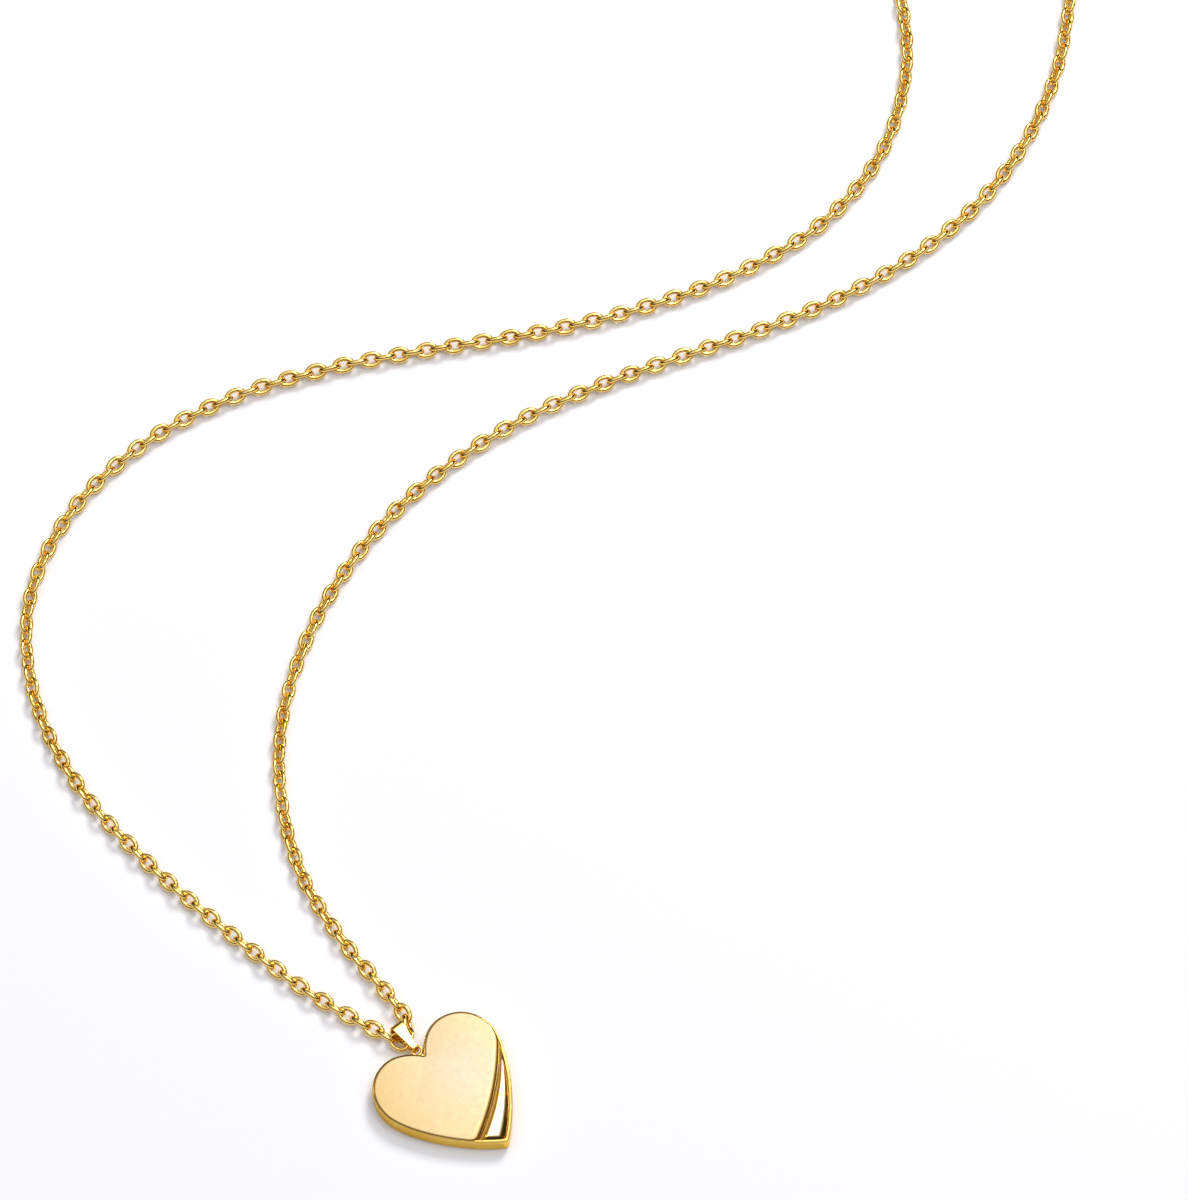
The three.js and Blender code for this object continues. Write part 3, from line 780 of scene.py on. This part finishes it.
def make_crescent_mirror(material):
    """The polished floor of the crescent: flat along the ridge, and curling up to meet the rim."""
    _, rim, circle = split_by_arc(heart_outline(RIM_WIDTH + GAP), CRESCENT_ARC, GAP)
    x, y, radius = CRESCENT_ARC
    tip = int(np.argmin(rim[:, 1]))
    low_side = resample(rim[: tip + 1], MIRROR_LOW_COLUMNS)[:-1]
    rim_side = np.vstack([low_side, resample(rim[tip:], MIRROR_COLUMNS - MIRROR_LOW_COLUMNS)])
    arc_side = resample(circle, len(rim_side))
    rim_side, arc_side = rim_side[1:-1], arc_side[1:-1]
    rows = []
    for share in np.linspace(0, 1, MIRROR_ROWS):
        flat = arc_side + (rim_side - arc_side) * share
        to_arc = np.maximum(np.hypot(flat[:, 0] - x, flat[:, 1] - y) - radius - GAP, 0)
        to_side = distance_to_line(flat, rim[tip:])
        to_low = distance_to_line(flat, rim[: tip + 1])
        side_rise = curl_height(to_side, MIRROR_SIDE_REACH * (to_side + to_arc) + 1e-6, MIRROR_SIDE_SLOPE)
        low_rise = curl_height(to_low, MIRROR_LOW_REACH, MIRROR_LOW_SLOPE)
        rise = (side_rise**MIRROR_BLEND + low_rise**MIRROR_BLEND) ** (1 / MIRROR_BLEND)
        rows.append(np.column_stack([flat, MIRROR_TOP + rise]))
    columns = len(rim_side)
    rows.append(np.column_stack([rim_side, np.full(columns, MIRROR_UNDER)]))
    rows.append(np.column_stack([arc_side, np.full(columns, MIRROR_UNDER)]))
    points = np.stack(rows, 1).reshape(-1, 3)
    faces = tube_faces(columns, len(rows), False)
    mirror = add_piece("crescent_floor", points * MM, faces, material)
    finish_piece(place_heart(smooth(mirror, 50)), "pendant", "mirror_gold", "crescent_mirror")


def make_ridge(material):
    """The thin raised wire along the crescent, with a rounded top, trimmed to the rim."""
    x, y, radius = CRESCENT_ARC
    inner, outer = radius - RIDGE_WIDTH, radius - GAP
    low, high = LEDGE_Z + GAP, RIDGE_TOP
    near, far = 0.3 * RIDGE_ROUND, RIDGE_ROUND
    section = [
        (inner, high - far), (inner + near, high - near), (inner + far, high),
        (outer - far, high), (outer - near, high - near), (outer, high - far),
        (outer, low), (inner, low),
    ]
    angle = np.radians(np.linspace(*RIDGE_SPAN, RIDGE_STEPS))
    points = [(x + r * math.cos(a), y + r * math.sin(a), z) for a in angle for r, z in section]
    faces = tube_faces(len(angle), len(section), False)
    ridge = add_piece("ridge_wire", np.array(points) * MM, faces, material)
    combine(ridge, heart_prism(RIM_WIDTH + RIDGE_TRIM, BELOW, ABOVE), "INTERSECT")
    only_material(ridge, material)
    finish_piece(place_heart(smooth(ridge, 50)), "pendant", "polished_gold", "crescent_ridge_wire")


def make_back_plate(material):
    plate = heart_loft("back_cover", BACK_PROFILE, material)
    finish_piece(place_heart(smooth(plate, 30)), "pendant", "polished_gold", "heart_back_plate")


def ring_piece(name, centre, turn, radius, wire, material, body, node):
    """A plain wire ring. turn's first two columns span its plane."""
    angle = np.linspace(0, 2 * np.pi, RING_STEPS, endpoint=False)
    line = np.stack([radius * np.cos(angle), radius * np.sin(angle), 0 * angle], 1)
    points, faces = sweep(line, wire, RING_SIDES, True)
    piece = add_piece(name, points @ np.array(turn).T + np.array(centre), faces, material)
    finish_piece(piece, body, "polished_gold", node)


def make_eye(material):
    y, radius, wire = (value * MM for value in EYE)
    centre = Matrix.Rotation(HEART_TURN, 3, "Z") @ Vector((0, y, PIVOT_Z * MM))
    flat = Matrix.Identity(3)
    ring_piece("eye_ring", centre, flat, radius, wire, material, "pendant", "heart_eye_ring")


STRAP_THICK = 0.2
# Circles that the strap is pulled round: y, z and outer radius. The bend holds the eye ring.
STRAP_BEND = (3.82, PIVOT_Z, 0.62)
STRAP_CORNERS = [(6.25, PIVOT_Z - 0.7, 0.55), (6.25, PIVOT_Z + 0.7, 0.55)]
STRAP_NARROW = 0.5
STRAP_WIDE = 1.5
STRAP_YAW = math.radians(-2.5)
STRAP_EDGE = 0.06


def belt_line(circles, count):
    """Evenly spaced (y, z) points on a band pulled tight round circles, anticlockwise."""
    angle = np.linspace(0, 2 * np.pi, 96, endpoint=False)
    cloud = np.concatenate([
        np.stack([y + r * np.cos(angle), z + r * np.sin(angle)], 1) for y, z, r in circles
    ])
    cloud = cloud[np.lexsort((cloud[:, 1], cloud[:, 0]))]

    def side(points):
        hull = []
        for point in points:
            while len(hull) > 1:
                a, b = hull[-2], hull[-1]
                if (b[0] - a[0]) * (point[1] - a[1]) - (b[1] - a[1]) * (point[0] - a[0]) > 1e-9:
                    break
                hull.pop()
            hull.append(point)
        return hull[:-1]

    hull = np.array(side(cloud) + side(cloud[::-1]))
    return resample(np.vstack([hull, hull[:1]]), count + 1)[:-1]


def make_bail(material):
    """A tapering strap folded round into a loop, with its edges softened."""
    half = STRAP_THICK / 2
    line = belt_line([(y, z, r - half) for y, z, r in [STRAP_BEND, *STRAP_CORNERS]], 220)
    tangent = np.roll(line, -1, 0) - np.roll(line, 1, 0)
    tangent /= np.linalg.norm(tangent, axis=1)[:, None]
    outwards = np.stack([tangent[:, 1], -tangent[:, 0]], 1)
    low = STRAP_BEND[0] - STRAP_BEND[2]
    high = STRAP_CORNERS[0][0] + STRAP_CORNERS[0][2]
    width = np.interp(line[:, 0], [low, high], [STRAP_NARROW, STRAP_WIDE]) / 2
    near, far = 0.3 * STRAP_EDGE, STRAP_EDGE
    # Each point of the section: the side it is on, its shift across, and its height over the middle.
    section = [
        (1, -far, -half), (1, -near, -half + near), (1, 0, -half + far),
        (1, 0, half - far), (1, -near, half - near), (1, -far, half),
    ]
    section += [(-side, -shift, rise) for side, shift, rise in reversed(section)]
    points = []
    for (y, z), (out_y, out_z), reach in zip(line, outwards, width):
        for side, shift, rise in section:
            points.append((side * reach + shift, y + out_y * rise, z + out_z * rise))
    bail = add_piece("bail", np.array(points) * MM, tube_faces(len(line), len(section), True), material)
    to_bend = Matrix.Translation((0, STRAP_BEND[0] * MM, 0))
    bail.data.transform(to_bend @ Matrix.Rotation(STRAP_YAW, 4, "Z") @ to_bend.inverted())
    finish_piece(place_heart(smooth(bail, 18)), "bail", "polished_gold", "bail_strap")


# ---------------------------------------------------------------- clasp

# The clasp's middle, and the radius of its ring; then radii across the ring. Its angles are in degrees.
CLASP = (59.6, 161.4, 0.62)
CLASP_RING = 2.2
CLASP_TUBE = 0.58
CLASP_BORE = 0.4
CLASP_BOLT = 0.32
TUBE_END_ROUND = 0.12
TUBE_END_DROP = 0.35
ROD_STEPS = 140
ROD_SIDES = 32
MOUTH_HALF = 25
BORE_PAST_END = 2
BOLT_ARC = (-33, 65)
KNOB_ANGLE = 50
KNOB_TRAVEL = 55
KNOB_REACH = 3.25
KNOB_RADIUS = 0.32
KNOB_SIDES = 28
STEM_RADIUS = 0.14
STEM_SIDES = 24
SLOT_MARGIN = 6
SLOT_HALF = 0.22
SPRING_ARC = (69, 165)
SPRING_TURNS = 9
SPRING_WIRE = 0.07
SPRING_STEPS = 28
SPRING_SIDES = 10
# Each ring's radius to the middle of its wire, and the wire's radius.
CLASP_EYE = (0.42, 0.15)
LEFT_RING = (0.95, 0.19)
RIGHT_RING = (1.25, 0.22)


def arc_rod(name, arc, thick, round_ends, material=None):
    """A round rod bent about the clasp's centre. Its ends are rounded over a length of round_ends."""
    angle = np.radians(np.linspace(*arc, ROD_STEPS))
    line = np.stack([CLASP_RING * np.cos(angle), CLASP_RING * np.sin(angle), 0 * angle], 1)
    run = CLASP_RING * (angle - angle[0])
    to_end = np.minimum(run, run[-1] - run)
    edge = np.clip(1 - to_end / round_ends, 0, 1) if round_ends else 0 * run
    drop = TUBE_END_DROP if round_ends < thick else 1
    radius = thick * (1 - drop * (1 - np.sqrt(1 - 0.99 * edge**2)))
    points, faces = sweep(line * MM, radius * MM, ROD_SIDES, False)
    return add_piece(name, points, faces, material)


def place_clasp(piece):
    piece.data.transform(Matrix.Translation(Vector(CLASP) * MM))
    return piece


def make_clasp_tube(material):
    """The hollow C-shaped tube, with the slot that the knob slides along."""
    ends = np.array([MOUTH_HALF, 360 - MOUTH_HALF])
    past_ends = ends + (-BORE_PAST_END, BORE_PAST_END)
    tube = arc_rod("clasp_case", ends, CLASP_TUBE, TUBE_END_ROUND, material)
    combine(tube, arc_rod("bore", past_ends, CLASP_BORE, 0), "DIFFERENCE")
    slot = (KNOB_ANGLE - SLOT_MARGIN, KNOB_ANGLE + KNOB_TRAVEL + SLOT_MARGIN)
    angle = np.radians(np.linspace(*slot, 50))
    outer = np.stack([np.cos(angle), np.sin(angle)], 1) * (CLASP_RING + 1)
    inner = np.stack([np.cos(angle), np.sin(angle)], 1)[::-1] * CLASP_RING
    outline = np.vstack([outer, inner])
    combine(tube, loft("slot", [(outline, -SLOT_HALF), (outline, SLOT_HALF)]), "DIFFERENCE")
    only_material(tube, material)
    finish_piece(place_clasp(smooth(tube, 30)), "clasp", "polished_gold", "clasp_tube")


def make_clasp_bolt(material):
    """The bolt inside the tube, and its round knob on a stem through the slot."""
    bolt = arc_rod("clasp_latch", BOLT_ARC, CLASP_BOLT, CLASP_BOLT, material)
    outwards = np.array([math.cos(math.radians(KNOB_ANGLE)), math.sin(math.radians(KNOB_ANGLE)), 0])
    stem_line = np.array([outwards * reach for reach in np.linspace(CLASP_RING, KNOB_REACH, 8)])
    combine(bolt, add_piece("stem", *sweep(stem_line * MM, STEM_RADIUS * MM, STEM_SIDES, False)), "UNION")
    turn = np.linspace(0, np.pi, 25)
    knob_line = np.array([outwards * (KNOB_REACH - KNOB_RADIUS * math.cos(t)) for t in turn])
    knob_size = np.maximum(KNOB_RADIUS * np.sin(turn), 0.002)
    combine(bolt, add_piece("knob", *sweep(knob_line * MM, knob_size * MM, KNOB_SIDES, False)), "UNION")
    only_material(bolt, material)
    finish_piece(place_clasp(smooth(bolt, 35)), "trigger", "polished_gold", "clasp_bolt")


def make_clasp_spring(material):
    """The coil behind the bolt, bent round inside the tube."""
    t = np.linspace(0, 1, SPRING_TURNS * SPRING_STEPS)
    along = np.radians(SPRING_ARC[0] + (SPRING_ARC[1] - SPRING_ARC[0]) * t)
    turn = 2 * np.pi * SPRING_TURNS * t
    coil = CLASP_BORE - SPRING_WIRE - GAP
    reach = CLASP_RING + coil * np.cos(turn)
    line = np.stack([reach * np.cos(along), reach * np.sin(along), coil * np.sin(turn)], 1)
    tangent = np.gradient(line, axis=0)
    hub = np.stack([CLASP_RING * np.cos(along), CLASP_RING * np.sin(along), 0 * along], 1)
    points, faces = sweep_from(line * MM, SPRING_WIRE * MM, SPRING_SIDES, tangent, line - hub)
    spring = add_piece("clasp_coil", points, faces, material)
    finish_piece(place_clasp(spring), "clasp", "spring_steel", "clasp_spring")


def sweep_from(line, radius, sides, tangent, outwards):
    """A round rod whose sections are set from an outward direction at each point."""
    tangent = tangent / np.linalg.norm(tangent, axis=1)[:, None]
    outwards = outwards - (outwards * tangent).sum(1)[:, None] * tangent
    outwards /= np.linalg.norm(outwards, axis=1)[:, None]
    over = np.cross(tangent, outwards)
    turn = np.linspace(0, 2 * np.pi, sides, endpoint=False)
    ring = outwards[:, None] * np.cos(turn)[None, :, None] + over[:, None] * np.sin(turn)[None, :, None]
    points = line[:, None] + ring * radius
    return points.reshape(-1, 3), tube_faces(len(line), sides, False)


def make_clasp_rings(material):
    for node, body, size in [
        ("clasp_eye", "clasp", CLASP_EYE),
        ("left_end_ring", "left_ring", LEFT_RING),
        ("right_end_ring", "right_ring", RIGHT_RING),
    ]:
        low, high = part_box(node)
        turn = Matrix(link_axes(node)[1].tolist())
        radius, wire = (value * MM for value in size)
        ring_piece(node + "_wire", (low + high) / 2, turn, radius, wire, material, body, node)


# ---------------------------------------------------------------- stage

FLOOR_SIZE = 4.0
# Square lamps: name, direction from the picture's middle, distance, side, brightness and colour.
LAMPS = [
    ("key", (0.3, 0.58, 0.76), 1.2, 0.36, 16, (1.0, 0.985, 0.96)),
    ("mirror_box", (-0.018, 0.34, 0.94), 1.18, 0.26, 2.0, (1, 1, 1)),
    ("bail_box", (0.291, -0.006, 0.957), 1.2, 0.25, 8, (1, 1, 1)),
]
# The world's colour by the height of the direction, from the horizon up.
SKY = [
    (0.0, (0.015, 0.015, 0.015)), (0.5, (0.05, 0.05, 0.055)), (0.72, (0.54, 0.55, 0.61)),
    (0.86, (0.95, 0.96, 1.05)), (1.0, (0.92, 0.93, 1.02)),
]


def make_floor():
    half = FLOOR_SIZE / 2
    corners = [(-half, -half, 0), (half, -half, 0), (half, half, 0), (-half, half, 0)]
    floor = add_piece("floor", corners, [(0, 1, 2, 3)], floor_white())


def add_lamp(name, direction, distance, size, radiance, colour):
    data = bpy.data.lights.new(name, "AREA")
    data.shape = "SQUARE"
    data.size = size
    data.energy = radiance * math.pi * size**2
    data.color = colour
    lamp = bpy.data.objects.new(name, data)
    bpy.context.scene.collection.objects.link(lamp)
    towards = Vector(direction).normalized()
    lamp.location = VIEW_TARGET + towards * distance
    lamp.rotation_euler = towards.to_track_quat("Z", "Y").to_euler()


def make_world():
    """A pale tent: bright overhead, grey towards the horizon."""
    world = bpy.data.worlds.new("studio")
    bpy.context.scene.world = world
    world.use_nodes = True
    tree = world.node_tree
    place = tree.nodes.new("ShaderNodeTexCoord")
    split = tree.nodes.new("ShaderNodeSeparateXYZ")
    tree.links.new(place.outputs["Generated"], split.inputs["Vector"])
    tree.links.new(ramp(tree, split.outputs["Z"], SKY), tree.nodes["Background"].inputs["Color"])


def make_stage():
    make_floor()
    make_world()
    for lamp in LAMPS:
        add_lamp(*lamp)
    bpy.context.scene.view_settings.view_transform = "Standard"


# ---------------------------------------------------------------- build

make_camera()
chain = polished_gold("chain_gold", CHAIN_GOLD, 0.17, 0.04)
polished = polished_gold("polished_gold", POLISHED_GOLD, 0.16, 0.03)
# The ledge material is painted shade: a darker gold for the narrow step round the mirror.
ledge = polished_gold("ledge_gold_painted_shade", LEDGE_SHADED_GOLD, 0.24, 0.04)
make_strand("chain_left", LEFT_ROUTE, "left_link_6", "left_end_link_3", False, 3, chain, "strand_left")
make_strand("chain_right", RIGHT_ROUTE, "right_link_6", "right_end_link_3", True, 5, chain, "strand_right")
for link in [name for name in frame["record"]["behaviour"]["bodies"]["chain"] if "link" in name]:
    make_link(link, chain)
make_heart_shell(polished, ledge)
make_satin_plate(satin_gold())
make_crescent_mirror(mirror_gold())
# The ridge wire takes the same darker gold: painted shade.
make_ridge(ledge)
make_back_plate(polished)
make_eye(polished)
make_bail(polished)
make_clasp_tube(polished)
make_clasp_bolt(polished)
make_clasp_spring(steel())
make_clasp_rings(polished)
make_stage()
